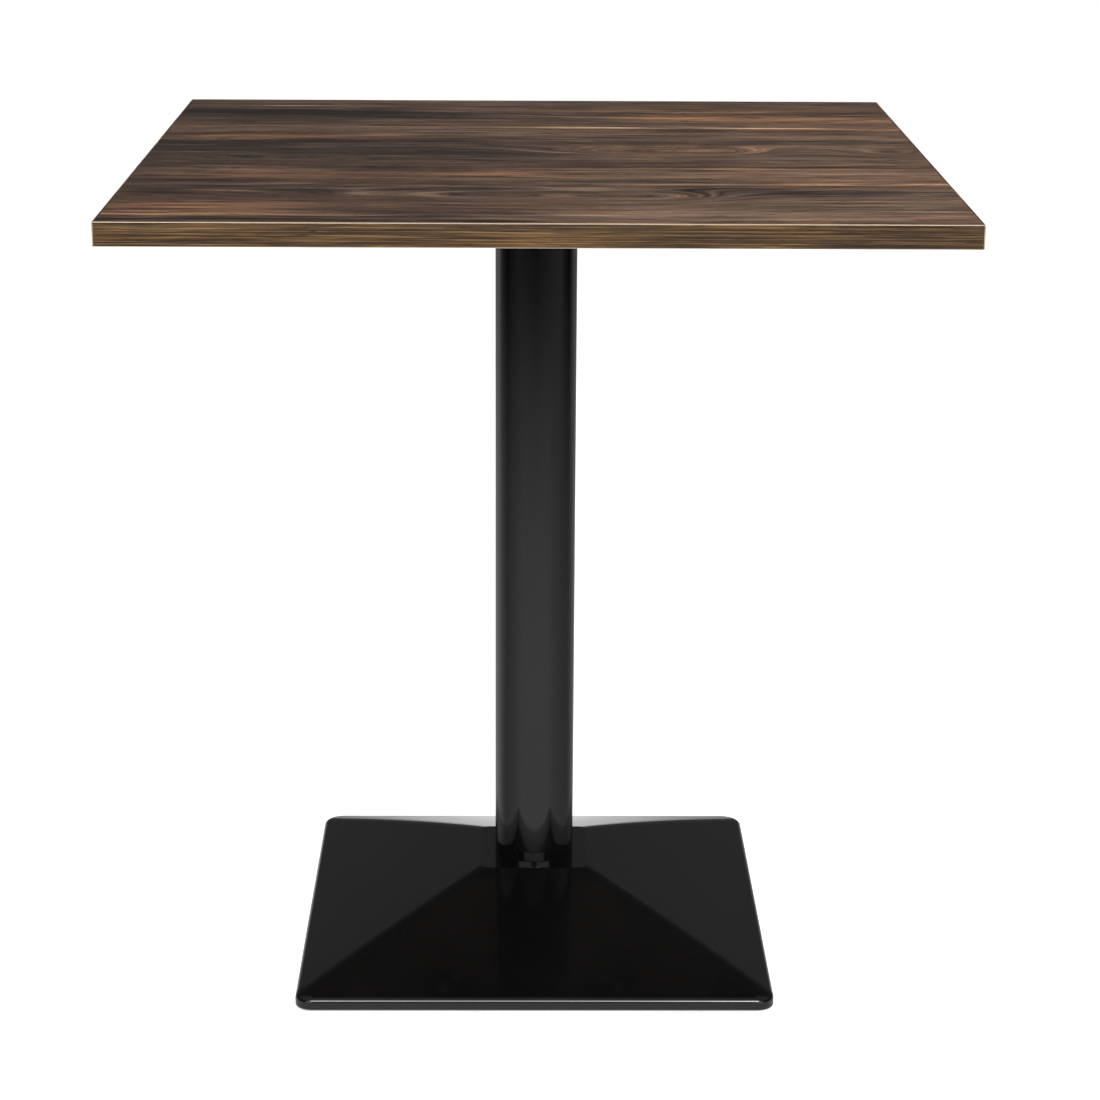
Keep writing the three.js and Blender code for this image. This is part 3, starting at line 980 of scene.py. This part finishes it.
def build_levelling_feet(plastic, metal):
    """A pad and the screw that turns in it, at each corner of the foot."""
    stem, pitch, depth = 4 * MM, 1.25 * MM, 0.7 * MM
    outline = hexagon(15 * MM)
    for corner in ("front_left", "front_right", "back_right", "back_left"):
        node = "foot_pad_" + corner
        place, height = middle(node)
        pad = turned("levelling_pad_" + corner, pad_profile(height), 96, [plastic])
        pad.location = place
        stands_for(pad, "foot_plastic", node, body="pad_" + corner)

        node = "foot_screw_" + corner
        place, height = middle(node)
        groove = thread_groove(pitch, depth, 7 * MM, height)

        def shape(radius, z, angle):
            # The hexagon trims only the collar: the round button fits inside it. The stem has the thread.
            if radius > stem * 1.2:
                return min(radius, outline(angle))
            return min(radius, stem - groove(z, angle))

        screw = turned("levelling_screw_" + corner, foot_screw_profile(height), 96, [metal], shape)
        screw.location = place
        stands_for(screw, "zinc_steel", node, body="screw_" + corner)


# ---------- the stage ----------
CAMERA_PLACE = (-0.016, -2.505, 1.135)
CAMERA_LENS = 91.1
# Degrees that the camera looks down, turns to the right and leans.
CAMERA_DOWN = 16.95
CAMERA_RIGHT = 0.685
CAMERA_LEAN = 0.337

FLOOR_REACH = 40.0
FLOOR_GLOW = 0.53
# The brightness of the world on matt surfaces.
AMBIENT = 0.52

# Softboxes that light matt surfaces: (name, place, aim, width, height, power).
SOFTBOXES = (
    ("key_strip", (0.72, -1.1, 2.6), (0.45, -0.1, 0.6), 2.35, 0.35, 10.0),
    ("front_left_softbox", (-1.0, -2.8, 2.75), (0.0, 0.0, 0.4), 1.8, 1.6, 60.0),
    ("front_right_softbox", (0.9, -2.8, 2.75), (0.0, 0.0, 0.4), 1.8, 1.6, 105.0),
    ("right_softbox", (2.0, -0.6, 2.6), (0.0, 0.0, 0.6), 1.1, 1.1, 14.0),
    ("left_rear_softbox", (-1.8, 1.4, 2.6), (0.0, 0.0, 0.5), 0.9, 1.4, 12.0),
)

# What gloss sees. Stops round the table are (degrees from the front, to the right, and brightness).
# The floor close to the table, and far off.
FLOOR_NEAR = (
    (-180, 1.0), (-150, 0.45), (-125, 0.7), (-88, 0.38), (-34, 0.92),
    (34, 0.92), (70, 0.56), (106, 0.28), (150, 0.4), (180, 1.0),
)
FLOOR_FAR = (
    (-180, 1.0), (-150, 0.18), (-130, 0.55), (-110, 0.12), (-88, 0.0), (-50, 0.15),
    (0, 0.05), (70, 0.28), (88, 0.08), (106, 0.0), (133, 0.32), (150, 0.14), (180, 1.0),
)
# The near stops hold within the first distance, and the far ones past the second.
NEAR_REACH, FAR_REACH = 0.6, 3.6
CARD_REACH = 6.0
# Panels at the front: (brightness, from and to in degrees above the horizon, stops).
LOW_PANELS = (
    (-46, 0.0), (-42, 1.0), (-12, 1.0), (-5, 0.16), (5, 0.16), (12, 1.0), (42, 1.0), (46, 0.0),
)
STRIP_PANEL = (
    (-18, 0.0), (-14, 0.55), (-5, 0.5), (-1, 0.31), (3, 0.42), (7, 1.0), (14, 1.0), (18, 0.0),
)
HIGH_PANEL = ((-32, 0.0), (-28, 1.0), (28, 1.0), (32, 0.0))
PANELS = ((3.2, 7.0, 19.0, LOW_PANELS), (34.0, 20.0, 28.0, STRIP_PANEL), (3.5, 29.0, 41.0, HIGH_PANEL))
PANEL_EDGE = 1.0
# The dim room: (low, high, brightness below low, brightness above high), low and high in degrees
# above the horizon.
FRONT_ROOM = (20.0, 45.0, 0.09, 0.35)
BACK_ROOM = (20.0, 42.0, 0.108, 0.044)


def build_camera():
    """At the front, a little above the top, looking down on it."""
    data = bpy.data.cameras.new("camera")
    data.lens = CAMERA_LENS
    data.sensor_width = 36.0
    camera = new_object("camera", data)
    pitch = Matrix.Rotation(math.radians(90 - CAMERA_DOWN), 4, "X")
    yaw = Matrix.Rotation(math.radians(-CAMERA_RIGHT), 4, "Z")
    roll = Matrix.Rotation(math.radians(CAMERA_LEAN), 4, "Z")
    camera.matrix_world = Matrix.Translation(CAMERA_PLACE) @ yaw @ pitch @ roll
    bpy.context.scene.camera = camera


def flat_square(name, reach, material):
    """A flat square on the ground that isn't part of the object."""
    points = [(-reach, -reach, 0), (reach, -reach, 0), (reach, reach, 0), (-reach, reach, 0)]
    square = piece(name, points, [(0, 1, 2, 3)], [material])
    return square


def build_floor():
    """The pale floor. Gloss doesn't see it: the card in build_gloss_floor stands for it there."""
    paint = Paint("pale_floor", Roughness=0.9)
    cloud = paint.noise(paint.scaled(3.0))
    paint.set(Base_Color=cloud.colours((0.0, (240, 240, 240)), (1.0, (246, 246, 246))))
    paint.set(Emission_Color=(1.0, 1.0, 1.0, 1.0), Emission_Strength=FLOOR_GLOW)
    floor = flat_square("floor", FLOOR_REACH, paint.material)
    floor.visible_glossy = False


def turn_of(x, y):
    """Azimuth as a share of a full turn: a half at the front, more than that to the right."""
    return calculate("ARCTAN2", x, y * -1.0) / math.tau + 0.5


def surround(azimuth, stops):
    """Brightness round the table, from its stops."""
    return azimuth.gradient([(degrees / 360 + 0.5, (value, value, value, 1.0)) for degrees, value in stops])


def build_gloss_floor():
    """The floor as only gloss sees it: white close to the table, fading into the dark studio."""
    paint = Paint("floor_in_gloss", Roughness=1.0, Specular_IOR_Level=0.0)
    azimuth = turn_of(paint.x, paint.y)
    distance = (paint.x * paint.x + paint.y * paint.y).to_the(0.5)
    fade = distance.ramp(NEAR_REACH, FAR_REACH)
    brightness = blend(fade, surround(azimuth, FLOOR_NEAR), surround(azimuth, FLOOR_FAR))
    paint.set(Base_Color=(0.0, 0.0, 0.0, 1.0))
    paint.set(Emission_Color=(1.0, 1.0, 1.0, 1.0), Emission_Strength=brightness)
    card = flat_square("floor_in_gloss", CARD_REACH, paint.material)
    card.visible_camera = False
    card.visible_diffuse = False
    card.visible_shadow = False


def build_softbox(name, place, aim, width, height, power):
    """A soft light that gloss doesn't see, so it adds no second reflection."""
    data = bpy.data.lights.new(name, "AREA")
    data.shape = "RECTANGLE"
    data.size = width
    data.size_y = height
    data.energy = power
    light = new_object(name, data)
    light.location = place
    light.rotation_euler = (Vector(aim) - Vector(place)).to_track_quat("-Z", "Y").to_euler()
    light.visible_glossy = False


def brightness_in_gloss(x, y, z):
    """The surroundings in gloss: a dim room and its front panels above the horizon, and below it the
    far floor."""
    elevation = calculate("ARCSINE", z) * (180 / math.pi)
    azimuth = turn_of(x, y)
    room = blend(y.ramp(0.1, 0.5), elevation.ramp(*FRONT_ROOM), elevation.ramp(*BACK_ROOM))
    for brightness, low, high, stops in PANELS:
        above = elevation.ramp(low - PANEL_EDGE, low + PANEL_EDGE)
        below = elevation.ramp(high - PANEL_EDGE, high + PANEL_EDGE, 1.0, 0.0)
        room = room + surround(azimuth, stops) * above * below * brightness
    return blend(elevation.ramp(-1.0, 4.0), surround(azimuth, FLOOR_FAR), room)


def build_world():
    """White to the camera and soft white light on matt surfaces. Gloss sees the studio instead."""
    world = bpy.data.worlds.new("studio")
    world.use_nodes = True
    bpy.context.scene.world = world
    tree = world.node_tree
    tree.nodes.clear()
    coordinates = tree.nodes.new("ShaderNodeTexCoord")
    parts = tree.nodes.new("ShaderNodeSeparateXYZ")
    tree.links.new(coordinates.outputs["Generated"], parts.inputs[0])
    gloss = brightness_in_gloss(*(Wire(tree, output) for output in parts.outputs))

    path = tree.nodes.new("ShaderNodeLightPath")
    seen = Wire(tree, path.outputs["Is Camera Ray"])
    in_gloss = Wire(tree, path.outputs["Is Glossy Ray"])
    strength = blend(seen, blend(in_gloss, AMBIENT, gloss), 1.0)
    background = tree.nodes.new("ShaderNodeBackground")
    background.inputs["Color"].default_value = (1.0, 1.0, 1.0, 1.0)
    connect(tree, strength, background.inputs["Strength"])
    output = tree.nodes.new("ShaderNodeOutputWorld")
    tree.links.new(background.outputs[0], output.inputs[0])


def build_stage():
    """The camera, floor, surroundings and lights."""
    bpy.context.scene.view_settings.view_transform = "Standard"
    build_camera()
    build_floor()
    build_gloss_floor()
    build_world()
    for softbox in SOFTBOXES:
        build_softbox(*softbox)


# ---------- the whole table ----------
def repaint(node, material):
    """Gives a CAD node that keeps its shape its finished material."""
    for material_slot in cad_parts[node].material_slots:
        material_slot.material = material


build_stage()

repaint("top_laminate", wood_laminate())
repaint("top_core", chipboard())
repaint("underside_laminate", backing_laminate())
band = [edge_band(trimmed=False), edge_band(trimmed=True)]
for index, side in enumerate(("front", "right", "back", "left")):
    build_edge_strip(side, index * math.pi / 2, side in ("front", "back"), band)

build_column(gloss_black("column_gloss"))
build_cover(gloss_black("foot_gloss"))
painted_iron = cast_iron("painted_iron", painted=True)
casting("cast_cross", "mounting_plate", "painted_casting", painted_iron, grid=1 * MM, soften=5)
raw_iron = cast_iron("raw_iron", painted=False)
casting("cast_ballast", "ballast_plate", "raw_casting", raw_iron, grid=2 * MM, soften=3)

zinc_plate = zinc()
build_wood_screws(zinc_plate)
build_tie_rod(zinc_plate)
build_cup(zinc_plate)
for end in ("top", "bottom"):
    build_nut("nut_" + end, end + "_nut", zinc_plate)
    build_washer("washer_" + end, end + "_washer", zinc_plate)
build_levelling_feet(pad_plastic(), zinc_plate)
